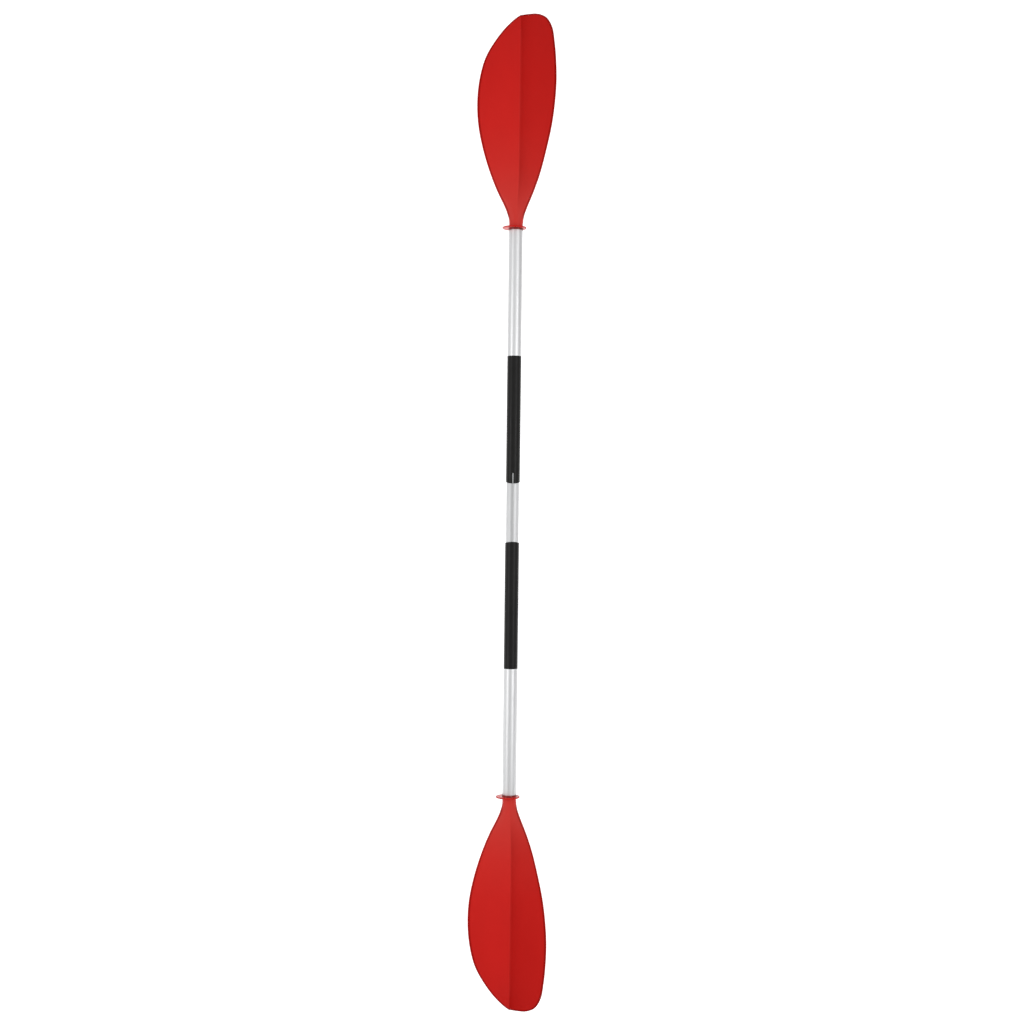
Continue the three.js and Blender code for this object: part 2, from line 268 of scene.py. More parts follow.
RIM_BAND, RIM_BAND_SHARE = 2.4 * MM, 0.3
KNOT_STEPS, EDGE_STEPS, CHAMFER_STEPS = 60, 900, 4
BLADE_PINS = [24 * MM, 52 * MM]
BLADE_SHARP_ANGLE = 60
SNUG = 0.9985  # keeps the spoon's deepest point just inside the CAD node's box


def smooth(value):
    value = np.clip(value, 0, 1)
    return value * value * (3 - 2 * value)


def edge_curve(knots):
    """Evenly spaced points of a centripetal Catmull-Rom curve through the knots, in metres."""
    p = np.array(knots, float) * MM
    p = np.vstack([2 * p[0] - p[1], p, 2 * p[-1] - p[-2]])
    times = np.concatenate([[0], np.cumsum(np.linalg.norm(np.diff(p, axis=0), axis=1) ** 0.5)])
    dense = []
    for i in range(1, len(p) - 2):
        t0, t1, t2, t3 = times[i - 1 : i + 3]
        t = np.linspace(t1, t2, KNOT_STEPS, endpoint=False)[:, None]
        a1 = (t1 - t) / (t1 - t0) * p[i - 1] + (t - t0) / (t1 - t0) * p[i]
        a2 = (t2 - t) / (t2 - t1) * p[i] + (t - t1) / (t2 - t1) * p[i + 1]
        a3 = (t3 - t) / (t3 - t2) * p[i + 1] + (t - t2) / (t3 - t2) * p[i + 2]
        b1 = (t2 - t) / (t2 - t0) * a1 + (t - t0) / (t2 - t0) * a2
        b2 = (t3 - t) / (t3 - t1) * a2 + (t - t1) / (t3 - t1) * a3
        dense.append((t2 - t) / (t2 - t1) * b1 + (t - t1) / (t2 - t1) * b2)
    dense = np.vstack([*dense, p[-2]])
    length = np.concatenate([[0], np.cumsum(np.linalg.norm(np.diff(dense, axis=0), axis=1))])
    even = np.linspace(0, length[-1], EDGE_STEPS)
    return np.column_stack([np.interp(even, length, dense[:, 0]), np.interp(even, length, dense[:, 1])])


def edge_point(edge, s):
    """The edge point that a row starting at height s on the ridge runs out to."""
    start = int(np.argmax(edge[:, 1] >= min(s, FAN_START)))
    if s <= FAN_START:
        below, above = edge[max(start - 1, 0)], edge[max(start, 1)]
        return below + (above - below) * (s - below[1]) / (above[1] - below[1])
    along = start + (len(edge) - 1 - start) * (s - FAN_START) / (edge[-1, 1] - FAN_START)
    index = min(int(along), len(edge) - 2)
    return edge[index] + (edge[index + 1] - edge[index]) * (along - index)


def row_shares(row_length, flat):
    """Shares of the way from ridge to edge: close together at the ridge, and round the rim."""
    columns = RIDGE_COLUMNS + FLAT_COLUMNS + EDGE_COLUMNS
    rim = min(RIM_BAND_SHARE, RIM_BAND / row_length)
    crest = min(RIDGE_BAND_SHARE, RIDGE_BAND / row_length)
    plain = np.concatenate([
        np.linspace(0, crest, RIDGE_COLUMNS, endpoint=False),
        np.linspace(crest, 1 - rim, FLAT_COLUMNS, endpoint=False),
        1 - rim * (1 - np.sin(np.linspace(0, math.pi / 2, EDGE_COLUMNS + 1))),
    ])
    circle = np.sin(np.linspace(0, math.pi / 2, columns + 1))
    return (1 - flat) * circle + flat * plain


def crown_share(t, row_length, crease):
    """How high the power face stands above the plate, a share t of the way from ridge to edge."""
    crest = np.exp(-t * row_length / crease["width"])
    return (1 - t) * ((1 - crease["share"]) * (1 - t) ** (RIDGE["power"] - 1) + crease["share"] * crest)


def blade_heights(x, s, ridge_s, crown, t, inset):
    """Front and back heights of the blade, a share t from ridge to edge and inset from the edge."""
    flat = smooth((s - NECK["round"]) / (NECK["blend"] - NECK["round"]))
    spoon = SPOON["rise"] * (np.maximum(s, 0) / BLADE_TIP) ** SPOON["power"]
    barrel = TUBE_RADIUS * np.sqrt(np.maximum(0, 1 - t * t))
    near = np.minimum(1, inset / (PLATE / 2))
    half = PLATE / 2 * np.sqrt(np.maximum(0, 1 - (1 - near) ** 2))
    lip = LIP["height"] * np.exp(-(((inset - LIP["from_edge"]) / LIP["width"]) ** 2))
    tip_fade = min(1, (BLADE_TIP - ridge_s) / RIDGE["fade"] + RIDGE["least"])
    crown = RIDGE["height"] * tip_fade * crown
    rib = RIB["height"] * smooth(1 - s / RIB["length"]) * np.exp(-((x / RIB["width"]) ** 2))
    front = (1 - flat) * barrel + flat * (half + crown + lip)
    back = (1 - flat) * barrel + flat * (half - crown + rib)
    return -spoon - front, -spoon + back


def blade_section(left, right, ridge_s, rim_points):
    """One closed loop: across the front from left to right, then back behind."""
    ridge = np.array([RIDGE["offset"] * float(smooth(ridge_s / NECK["blend"])), ridge_s])
    flat = float(smooth((ridge_s - NECK["round"]) / (NECK["blend"] - NECK["round"])))
    halves = []
    for edge, crease in ((left, LEFT_CREASE), (right, RIGHT_CREASE)):
        row_length = np.linalg.norm(edge - ridge)
        t = row_shares(row_length, flat)
        place = ridge + t[:, None] * (edge - ridge)
        inset = np.sqrt(((place[:, None] - rim_points[None]) ** 2).sum(-1)).min(1)
        inset[-1] = 0
        crown = crown_share(t, row_length, crease)
        front, back = blade_heights(place[:, 0], place[:, 1], ridge_s, crown, t, inset)
        back[-1] = front[-1]
        halves.append([np.column_stack([place[:, 0], y, place[:, 1]]) for y in (front, back)])
    (left_front, left_back), (right_front, right_back) = halves
    return np.vstack([left_front[::-1], right_front[1:], right_back[-2::-1], left_back[1:-1]])


def round_section(radius, s, like):
    scaled = like.copy()
    scaled[:, :2] *= radius / TUBE_RADIUS
    scaled[:, 2] = s
    return scaled


def loft(sections, first, last):
    """Points and faces of equal rings of points, with a single point closing each end."""
    count = len(sections[0])
    points = [tuple(first)] + [tuple(p) for section in sections for p in section] + [tuple(last)]
    end = len(points) - 1
    faces = []
    for k in range(count):
        on = (k + 1) % count
        faces.append((0, 1 + on, 1 + k))
        for row in range(len(sections) - 1):
            a, b = 1 + row * count + k, 1 + row * count + on
            faces.append((a, b, b + count, a + count))
        faces.append((end - count + k, end - count + on, end))
    return points, faces


def blade_shape():
    left, right = edge_curve(LEFT_EDGE), edge_curve(RIGHT_EDGE)
    tip = left[-1]
    rim_points = np.vstack([left, right])
    radius, length, chamfer = SPIGOT["radius"], SPIGOT["length"], SPIGOT["chamfer"]
    neck = blade_section(left[0], right[0], 0.0, rim_points)
    angles = np.linspace(0, math.pi / 2, CHAMFER_STEPS + 1)
    spigot = [
        round_section(radius - chamfer * (1 - math.sin(a)), -length + chamfer * (1 - math.cos(a)), neck)
        for a in angles
    ]
    seat = [round_section(TUBE_RADIUS, s, neck) for s in (GAP, NECK["collar"])]
    spigot += [round_section(radius, GAP, neck), *seat]
    rows = []
    for j in range(BLADE_ROWS):
        share = (j + 1) / (BLADE_ROWS + 1)
        s = tip[1] * (share - ROW_CROWDING * math.sin(2 * math.pi * share))
        if s > NECK["first_row"]:
            rows.append(blade_section(edge_point(left, s), edge_point(right, s), s, rim_points))
    point = (tip[0], -SPOON["rise"] * (tip[1] / BLADE_TIP) ** SPOON["power"], tip[1])
    points, faces = loft(spigot + rows, (0, 0, -length), point)
    return fit_in_box(np.array(points) + (0, 0, SEAM)), faces


def fit_in_box(points):
    """Shrinks the blade by the hair's breadth that its finer outline bulges past its CAD node."""
    lowest, highest = np.array(low("upper_blade")), np.array(high("upper_blade"))
    over = max(points[:, 0].max() / highest[0], points[:, 0].min() / lowest[0], 1)
    points[:, 0] /= over
    stretch = (highest[2] - SEAM) / (points[:, 2].max() - SEAM)
    above = points[:, 2] > SEAM
    points[above, 2] = SEAM + (points[above, 2] - SEAM) * min(1, stretch)
    share = np.clip((points[:, 2] - SEAM) / BLADE_TIP, 0, 1)
    points[:, 1] *= 1 - share * (1 - min(1, SNUG * lowest[1] / points[:, 1].min()))
    return [tuple(p) for p in points]


# ---- materials ----


class Paint:
    """A small helper that lays out one material's nodes."""

    def __init__(self, name, **settings):
        self.material = bpy.data.materials.new(name)
        self.material.use_nodes = True
        self.tree = self.material.node_tree
        self.shader = self.tree.nodes["Principled BSDF"]
        for socket, value in settings.items():
            label = socket.replace("_", " ").title().replace("Ior", "IOR")
            self.shader.inputs[label].default_value = value
        self.place = self.tree.nodes.new("ShaderNodeTexCoord").outputs["Object"]

    def link(self, start, end):
        self.tree.links.new(start, end)

    def stretched(self, scale):
        node = self.tree.nodes.new("ShaderNodeMapping")
        node.inputs["Scale"].default_value = scale
        self.link(self.place, node.inputs["Vector"])
        return node.outputs["Vector"]

    def noise(self, scale, detail=2.0, roughness=0.5, stretch=None):
        node = self.tree.nodes.new("ShaderNodeTexNoise")
        node.inputs["Scale"].default_value = scale
        node.inputs["Detail"].default_value = detail
        node.inputs["Roughness"].default_value = roughness
        self.link(self.stretched(stretch) if stretch else self.place, node.inputs["Vector"])
        return node.outputs["Fac"]

    def cells(self, scale):
        node = self.tree.nodes.new("ShaderNodeTexVoronoi")
        node.inputs["Scale"].default_value = scale
        self.link(self.place, node.inputs["Vector"])
        return node.outputs["Distance"]

    def ramp(self, value, stops):
        """A colour ramp through (position, colour) stops. A number stands for a grey."""
        node = self.tree.nodes.new("ShaderNodeValToRGB")
        while len(node.color_ramp.elements) < len(stops):
            node.color_ramp.elements.new(0.5)
        for element, (position, colour) in zip(node.color_ramp.elements, stops):
            element.position = position
            element.color = (*colour, 1) if isinstance(colour, tuple) else (colour, colour, colour, 1)
        self.link(value, node.inputs["Fac"])
        return node.outputs["Color"]

    def mix(self, share, first, second, blend="MIX"):
        node = self.tree.nodes.new("ShaderNodeMix")
        node.data_type, node.blend_type = "RGBA", blend
        sockets = (node.inputs[0], node.inputs[6], node.inputs[7])
        for value, socket in zip((share, first, second), sockets):
            if isinstance(value, bpy.types.NodeSocket):
                self.link(value, socket)
            elif isinstance(value, tuple):
                socket.default_value = (*value, 1)
            else:
                socket.default_value = value
        return node.outputs[2]

    def times(self, first, second):
        return self.mix(1.0, first, second, "MULTIPLY")

    def bump(self, height, strength, distance, below=None):
        node = self.tree.nodes.new("ShaderNodeBump")
        node.inputs["Strength"].default_value = strength
        node.inputs["Distance"].default_value = distance
        self.link(height, node.inputs["Height"])
        if below is not None:
            self.link(below, node.inputs["Normal"])
        return node.outputs["Normal"]

    def attribute(self, name):
        node = self.tree.nodes.new("ShaderNodeAttribute")
        node.attribute_name = name
        return node.outputs["Fac"]

    def radius(self, start, end):
        """0 within one distance from the shaft's axis, 1 beyond another."""
        flat = self.tree.nodes.new("ShaderNodeVectorMath")
        flat.operation = "LENGTH"
        self.link(self.stretched((1, 1, 0)), flat.inputs[0])
        node = self.tree.nodes.new("ShaderNodeMapRange")
        node.inputs["From Min"].default_value, node.inputs["From Max"].default_value = start, end
        self.link(flat.outputs["Value"], node.inputs["Value"])
        return node.outputs["Result"]

    def along(self, axis, start, end):
        """0 before one place along an axis, 1 after another, and a smooth step between."""
        split = self.tree.nodes.new("ShaderNodeSeparateXYZ")
        self.link(self.place, split.inputs["Vector"])
        node = self.tree.nodes.new("ShaderNodeMapRange")
        node.interpolation_type = "SMOOTHSTEP"
        node.inputs["From Min"].default_value, node.inputs["From Max"].default_value = start, end
        self.link(split.outputs[axis], node.inputs["Value"])
        return node.outputs["Result"]

    def finish(self, colour=None, roughness=None, normal=None):
        for value, socket in ((colour, "Base Color"), (roughness, "Roughness"), (normal, "Normal")):
            if value is not None:
                self.link(value, self.shader.inputs[socket])
        return self.material


def red_plastic():
    """Injection-moulded red plastic: satin, with a fine grain, faint flow and a few long scuffs."""
    paint = Paint("red_plastic")
    cloud = paint.noise(9, 3, 0.55, (1, 1, 0.45))
    tone = paint.ramp(cloud, [(0.3, (0.645, 0.0082, 0.005)), (0.7, (0.7, 0.01, 0.0065))])
    scuffs = paint.ramp(paint.noise(60, 6, 0.7, (6, 6, 0.35)), [(0.66, 0.0), (0.78, 1.0)])
    scuff_places = paint.ramp(paint.noise(14, 2, 0.5), [(0.5, 0.0), (0.7, 0.35)])
    worn = paint.times(scuffs, scuff_places)
    colour = paint.mix(worn, tone, (0.66, 0.06, 0.045))
    neck_sheen, hollow_shade, rim = (paint.attribute(name) for name in ("neck_sheen", "hollow_shade", "rim"))
    # Painted sheen: the colour turns lighter and less saturated towards the neck, and darker towards the
    # tip.
    sheen = paint.ramp(neck_sheen, [(0.3, 0.0), (0.52, 0.08), (0.7, 0.3), (0.9, 0.8)])
    colour = paint.mix(sheen, colour, (0.67, 0.046, 0.035))
    colour = paint.times(colour, paint.ramp(neck_sheen, [(0.0, 0.86), (0.25, 0.93), (0.7, 1.0)]))
    # Painted shade: darkens the flank just right of the ridge; the gloss there is turned down as well.
    colour = paint.times(colour, paint.ramp(hollow_shade, [(0.0, 1.0), (1.0, (0.73, 0.6, 0.6))]))
    # Painted edge shade: a dark band a few millimetres inside the edge, back to full colour at the very
    # edge and faded out near the neck.
    colour = paint.times(colour, paint.ramp(rim, [(0.0, 1.0), (0.3, 0.6), (0.6, 0.54), (0.9, 1.0)]))
    gloss = paint.ramp(rim, [(0.0, 0.16), (0.4, 0.03)])
    gloss = paint.times(gloss, paint.ramp(hollow_shade, [(0.0, 1.0), (1.0, 0.25)]))
    paint.link(gloss, paint.shader.inputs["Specular IOR Level"])
    roughness = paint.ramp(paint.noise(45, 4, 0.6), [(0.3, 0.4), (0.7, 0.52)])
    grain = paint.bump(paint.noise(1500, 3, 0.6), 0.45, 0.00009)
    flow = paint.bump(paint.noise(22, 2, 0.5, (1, 1, 0.3)), 0.25, 0.0006, grain)
    return paint.finish(colour, roughness, flow)


def soft_red():
    """Soft, glossier red for the drip rings."""
    paint = Paint("soft_red")
    tone = paint.ramp(paint.noise(70, 3), [(0.3, (0.7, 0.02, 0.014)), (0.7, (0.8, 0.026, 0.018))])
    # Painted shade: the hub and the root of the flange, near the shaft, are darkened.
    shade = paint.ramp(paint.radius(17 * MM, 19.5 * MM), [(0.0, (0.32, 0.2, 0.2)), (1.0, 1.0)])
    # Painted shade: the bead round the flange's edge is darkened, and its specular turned down.
    bead = paint.attribute("bead")
    tone = paint.times(paint.times(tone, shade), paint.ramp(bead, [(0.1, 1.0), (0.7, (0.85, 0.6, 0.6))]))
    paint.link(paint.ramp(bead, [(0.1, 0.5), (0.7, 0.12)]), paint.shader.inputs["Specular IOR Level"])
    roughness = paint.ramp(paint.noise(160, 3), [(0.3, 0.24), (0.7, 0.36)])
    return paint.finish(tone, roughness, paint.bump(paint.noise(500, 3), 0.2, 0.00005))


def satin_aluminium(name="satin_aluminium", satin=0.42, shade_stops=None):
    """Drawn aluminium tube: fine lines along it, a little clouding, and if asked a band of painted shade
    across it.
    """
    paint = Paint(name, metallic=1.0, specular_tint=(0.35, 0.35, 0.35, 1))
    lines = paint.noise(520, 5, 0.65, (1, 1, 0.006))
    broad = paint.noise(12, 2, 0.5, (1, 1, 0.25))
    base = paint.ramp(lines, [(0.3, (0.84, 0.845, 0.855)), (0.7, (0.91, 0.915, 0.922))])
    clouded = paint.mix(0.35, base, paint.ramp(broad, [(0.3, 0.78), (0.7, 0.9)]), "MULTIPLY")
    roughness = paint.ramp(lines, [(0.3, satin), (0.7, satin + 0.08)])
    scratch = paint.bump(paint.noise(900, 3, 0.6, (1, 1, 0.01)), 0.3, 0.00005)
    if shade_stops:
        # Painted shade: a darker band set by x across the tube's middle.
        band = paint.ramp(paint.along("X", -CENTRE_RADIUS, CENTRE_RADIUS), shade_stops)
        clouded = paint.times(clouded, band)
    return paint.finish(clouded, roughness, scratch)


def painted_shade_aluminium():
    """The centre tube's surface, with a band of painted shade across its middle in x, darkest a little
    left of centre.
    """
    shade_stops = [(0.0, 1.0), (0.11, 0.88), (0.31, 0.74), (0.44, 0.72), (0.56, 0.74), (0.69, 0.84), (0.8, 1.0)]
    return satin_aluminium("painted_shade_aluminium", 0.54, shade_stops)


def black_sleeve():
    """Thin black shrunk sleeve: matt, with a fine pebbled texture and slight polish from hands."""
    paint = Paint("black_sleeve", specular_ior_level=0.24)
    blacks = [(0.3, (0.0045, 0.0042, 0.004)), (0.7, (0.0075, 0.007, 0.0067))]
    tone = paint.ramp(paint.noise(40, 4), blacks)
    polish = paint.ramp(paint.noise(18, 3, 0.55, (1, 1, 0.4)), [(0.3, 0.34), (0.7, 0.46)])
    pebbles = paint.bump(paint.cells(1300), 0.35, 0.00012)
    ripple = paint.bump(paint.noise(60, 2, 0.5, (1, 1, 0.5)), 0.2, 0.0004, pebbles)
    return paint.finish(tone, polish, ripple)


def spring_steel():
    """Bright stainless steel for rivets and the snap button."""
    paint = Paint("spring_steel", metallic=1.0)
    tone = paint.ramp(paint.noise(300, 4, 0.6), [(0.3, (0.58, 0.59, 0.61)), (0.7, (0.7, 0.71, 0.73))])
    roughness = paint.ramp(paint.noise(700, 3), [(0.3, 0.2), (0.7, 0.34)])
    return paint.finish(tone, roughness, paint.bump(paint.noise(2500, 2), 0.15, 0.00003))


def black_rubber():
    """Matt black nitrile for the joint's seal ring."""
    paint = Paint("black_rubber", specular_ior_level=0.4)
    tone = paint.ramp(paint.noise(400, 3), [(0.3, 0.008), (0.7, 0.014)])
    roughness = paint.ramp(paint.noise(600, 3), [(0.3, 0.5), (0.7, 0.66)])
    return paint.finish(tone, roughness, paint.bump(paint.noise(2200, 2), 0.2, 0.00004))


def grey_plastic():
    """Dark grey moulded polyethylene for the cap and the bungs."""
    paint = Paint("grey_plastic", specular_ior_level=0.4)
    tone = paint.ramp(paint.noise(120, 3), [(0.3, (0.034, 0.036, 0.039)), (0.7, (0.048, 0.05, 0.054))])
    roughness = paint.ramp(paint.noise(300, 3), [(0.3, 0.42), (0.7, 0.56)])
    return paint.finish(tone, roughness, paint.bump(paint.noise(1500, 3), 0.25, 0.00006))


MAKERS = (
    red_plastic, soft_red, satin_aluminium, painted_shade_aluminium,
    black_sleeve, spring_steel, black_rubber, grey_plastic,
)
MATERIALS = {make.__name__: make() for make in MAKERS}


def dress(piece, slot, body, *nodes, finish=None):
    """Gives a piece its material, its body and the CAD nodes that it stands for."""
    piece.data.materials.clear()
    piece.data.materials.append(MATERIALS[finish or slot])
    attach(piece, body)
    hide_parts(*nodes)


# ---- pieces ----

PIN_HOLE = 2.3 * MM
BUTTON_Z = 140 * MM
BUTTON = {"radius": 3.1 * MM, "proud": 17.9 * MM, "dome": 1.3 * MM, "segments": 48}
BUTTON_HOLES = {"centre": 3.4 * MM, "tube": 3.6 * MM, "grip": 5.2 * MM}
FEATHER_ANGLES = (-60, 0, 60)
SLOT = {"width": 3 * MM, "bottom": 50 * MM, "top": 91.5 * MM, "depth": 4 * MM}
CLIP = {
    "width": 9 * MM, "thickness": 0.7 * MM, "y": 12.2 * MM, "foot": 130 * MM, "knee": 148 * MM,
    "bend": 172 * MM, "pinch": 2.4 * MM, "edge": 0.2 * MM, "bend_steps": 12,
}
GROOVE = {"floor": 13.2 * MM, "half": 1.5 * MM, "ramp": 1.2 * MM}
SEAL = {"inner": 13.3 * MM, "steps": 24}
RING = {
    "bore": 15.75 * MM, "hub": 16.8 * MM, "web": 0.9 * MM, "bead": 1.5 * MM, "dish": 0.6 * MM,
    "bead_steps": 8,
}
CAP_BODY = 13 * MM
BUNG = {"wall": 1.6 * MM, "floor": 2.4 * MM}
PIN_SEGMENTS, PIN_ROUNDING = 40, 0.4 * MM
HOLE_LENGTH = 2 * TUBE_RADIUS + 4 * MM


def blades():
    points, faces = blade_shape()
    halves = (("upper", (points, faces), SEAM), ("lower", mirrored((points, faces)), -SEAM))
    for half, (places, sides), seam in halves:
        piece = new_object(f"blade_{half}", places, sides)
        away = math.copysign(1, seam)
        cut(piece, [cross_rod(PIN_HOLE, HOLE_LENGTH, seam - away * depth) for depth in BLADE_PINS])
        shade(piece, BLADE_SHARP_ANGLE)
        mark_painted_light(piece, seam)
        dress(piece, "red_plastic", f"{half}_half", f"{half}_blade")


def mark_painted_light(piece, seam):
    """Stores how near each point is to the rim and to the neck, and how deep in the dip right of the
    ridge: masks for the painted edge shade, the painted neck sheen and the painted shade beside the
    ridge.
    """
    outline = np.vstack([edge_curve(LEFT_EDGE), edge_curve(RIGHT_EDGE)])
    places = np.array([v.co for v in piece.data.vertices])
    flat = np.column_stack([places[:, 0], np.abs(places[:, 2]) - abs(seam)])
    near = np.array([np.sqrt(((outline - p) ** 2).sum(1)).min() for p in flat])
    rim = np.clip(1 - near / RIM_WIDTH, 0, 1) * smooth((flat[:, 1] - NECK["round"]) / RIM_FADE)
    # Mask for the painted sheen: 1 at the seam, falling to 0 some way up the blade.
    neck_sheen = np.clip(1 - flat[:, 1] / NECK_SHEEN_REACH, 0, 1)
    # Mask for the painted shade on the right flank: strongest just right of the ridge, lower further
    # out, nil on the left flank and at the neck.
    past_ridge = flat[:, 0] - RIDGE["offset"] * smooth(flat[:, 1] / NECK["blend"])
    dip = HOLLOW_SHADE_FLOOR + (1 - HOLLOW_SHADE_FLOOR) * np.exp(-np.maximum(past_ridge, 0) / HOLLOW_SHADE_WIDTH)
    hollow_shade = dip * smooth(past_ridge / RIDGE_WIDTH) * smooth(flat[:, 1] / NECK["blend"])
    for name, values in (("rim", rim), ("neck_sheen", neck_sheen), ("hollow_shade", hollow_shade)):
        store_values(piece, name, values)


def store_values(piece, name, values):
    """Keeps one number per point, for the piece's material to read."""
    store = piece.data.attributes.new(name, "FLOAT", "POINT")
    store.data.foreach_set("value", values.astype(np.float32))


def feather_holes(radius):
    return [wall_cutter(radius, BUTTON_Z, angle) for angle in FEATHER_ANGLES]


def joint_slot():
    near, far = -TUBE_RADIUS - SLOT["depth"], -TUBE_RADIUS + SLOT["depth"]
    return slot_cutter(SLOT["width"], SLOT["bottom"], SLOT["top"], near, far)


def centre_pin_holes():
    heights = [centre_of(f"centre_tube_pin_{i}").z for i in (1, 2)]
    return [cross_rod(PIN_HOLE, HOLE_LENGTH, z) for z in heights]


def shaft_tubes():
    outline = [
        (TUBE_RADIUS - TUBE_WALL, TUBE_MOUTH), (TUBE_RADIUS, TUBE_MOUTH),
        (TUBE_RADIUS, TUBE_END), (TUBE_RADIUS - TUBE_WALL, TUBE_END),
    ]
    shape = turned(rounded(outline, 0.3 * MM, 3), FINE_SEGMENTS)
    pins = [cross_rod(PIN_HOLE, HOLE_LENGTH, SEAM - depth) for depth in BLADE_PINS]
    upper = new_object("tube_upper", *shape)
    cut(upper, pins + [joint_slot()] + feather_holes(BUTTON_HOLES["tube"]))
    dress(upper, "satin_aluminium", "upper_half", "upper_shaft_tube")
    lower = new_object("tube_lower", *mirrored(shape))
    cut(lower, [mirrored(pin) for pin in pins] + centre_pin_holes())
    dress(lower, "satin_aluminium", "lower_half", "lower_shaft_tube")


def centre_tube():
    groove_z = centre_of("joint_seal_ring").z
    floor, half, ramp = GROOVE["floor"], GROOVE["half"], GROOVE["ramp"]
    outside = [
        (CENTRE_RADIUS, CENTRE_LOW), (CENTRE_RADIUS, groove_z - half - ramp), (floor, groove_z - half),
        (floor, groove_z + half), (CENTRE_RADIUS, groove_z + half + ramp), (CENTRE_RADIUS, CENTRE_HIGH),
    ]
    inside = [(r - CENTRE_WALL, z) for r, z in reversed(outside)]
    piece = new_object("tube_centre", *turned(rounded(outside + inside, 0.5 * MM, 4), FINE_SEGMENTS))
    cut(piece, centre_pin_holes() + [wall_cutter(BUTTON_HOLES["centre"], BUTTON_Z, 0)])
    dress(piece, "satin_aluminium", "lower_half", "centre_tube", finish="painted_shade_aluminium")


def sleeve_shape(slant):
    """A sleeve whose end nearest the middle is cut on a slant, longest at the front."""
    outline = [(GRIP_BORE, GRIP_NEAR), (GRIP_RADIUS, GRIP_NEAR), (GRIP_RADIUS, GRIP_FAR)]
    outline.append((GRIP_BORE, GRIP_FAR))
    points, faces = turned(rounded(outline, 0.2 * MM, 5), FINE_SEGMENTS)
    middle = (GRIP_NEAR + GRIP_FAR) / 2
    return [(x, y, z + (slant * y / GRIP_RADIUS if z < middle else 0)) for x, y, z in points], faces


def grips():
    upper = new_object("sleeve_upper", *sleeve_shape(UPPER_SLANT))
    cut(upper, [joint_slot()] + feather_holes(BUTTON_HOLES["grip"]))
    dress(upper, "black_sleeve", "upper_half", "upper_grip")
    lower = new_object("sleeve_lower", *mirrored(sleeve_shape(LOWER_SLANT)))
    dress(lower, "black_sleeve", "lower_half", "lower_grip")


def drip_rings():
    """A collar on the tube's end, with a thin flange that ends in a bead and hangs to one side."""
    bore, hub, web, bead, dish = (RING[k] for k in ("bore", "hub", "web", "bead", "dish"))
    lowest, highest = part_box("upper_drip_ring")
    bottom, top = lowest.z - SEAM, highest.z - SEAM
    rim, offset = (highest.x - lowest.x) / 2, (highest.x + lowest.x) / 2
    outline = [(bore, bottom), (hub, bottom), (hub, -web), (rim - 2 * bead, dish - web)]
    for k in range(RING["bead_steps"] + 1):
        angle = math.radians(-90 + 180 * k / RING["bead_steps"])
        outline.append((rim - bead + bead * math.cos(angle), dish + bead * math.sin(angle)))
    outline += [(rim - 2 * bead, dish + web), (hub, web), (hub, top), (bore, top)]
    points, faces = turned(rounded(outline, 0.35 * MM, 3), FINE_SEGMENTS)
    reach = np.hypot(*np.array(points).T[:2])
    hung = [(x + offset * max(0, r - hub) / (rim - hub), y, z) for (x, y, z), r in zip(points, reach)]
    thick = np.clip((reach - rim + 2 * bead) / bead, 0, 1)
    shape = raised((hung, faces), SEAM)
    for half, (places, sides) in (("upper", shape), ("lower", mirrored(shape))):
        piece = new_object(f"ring_{half}", places, sides)
        store_values(piece, "bead", thick)
        dress(piece, "soft_red", f"{half}_ring", f"{half}_drip_ring")


def rivets():
    rows = [(f"{half}_blade_pin_{i}", f"{half}_half") for half in ("upper", "lower") for i in (1, 2)]
    rows += [(f"centre_tube_pin_{i}", "lower_half") for i in (1, 2)]
    for node, body in rows:
        lowest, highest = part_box(node)
        radius, length = (highest.z - lowest.z) / 2, highest.x - lowest.x
        shape = cross_rod(radius, length, centre_of(node).z, PIN_SEGMENTS, PIN_ROUNDING)
        dress(new_object(f"rivet_{node}", *shape), "spring_steel", body, node)


def seal_ring():
    lowest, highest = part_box("joint_seal_ring")
    inner, outer, half = SEAL["inner"], highest.x, (highest.z - lowest.z) / 2
    middle = centre_of("joint_seal_ring").z
    centre, reach = (inner + outer) / 2, (outer - inner) / 2
    outline = []
    for k in range(SEAL["steps"]):
        angle = 2 * math.pi * k / SEAL["steps"]
        outline.append((centre + reach * math.cos(angle), middle + half * math.sin(angle)))
    piece = new_object("seal_ring", *turned(outline, FINE_SEGMENTS))
    dress(piece, "black_rubber", "seal", "joint_seal_ring")


def caps_and_bungs():
    bottom, top, rim = low("centre_tube_cap").z, high("centre_tube_cap").z, high("centre_tube_cap").x
    seat = CENTRE_HIGH + 2 * GAP
    profile = [(0, bottom), (CAP_BODY, bottom), (CAP_BODY, seat), (rim, seat), (rim, top), (0, top)]
    cap = new_object("cap_centre", *turned_solid(rounded(profile, 0.8 * MM, 4, closed=False)))
    dress(cap, "grey_plastic", "lower_half", "centre_tube_cap")
    lowest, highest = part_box("upper_shaft_bung")
    bottom, top, radius = lowest.z, highest.z, highest.x
    inside, floor = radius - BUNG["wall"], bottom + BUNG["floor"]
    profile = [(0, bottom), (radius, bottom), (radius, top), (inside, top), (inside, floor), (0, floor)]
    shape = turned_solid(rounded(profile, 0.9 * MM, 4, closed=False))
    dress(new_object("bung_upper", *shape), "grey_plastic", "upper_half", "upper_shaft_bung")
    dress(new_object("bung_lower", *mirrored(shape)), "grey_plastic", "lower_half", "lower_shaft_bung")


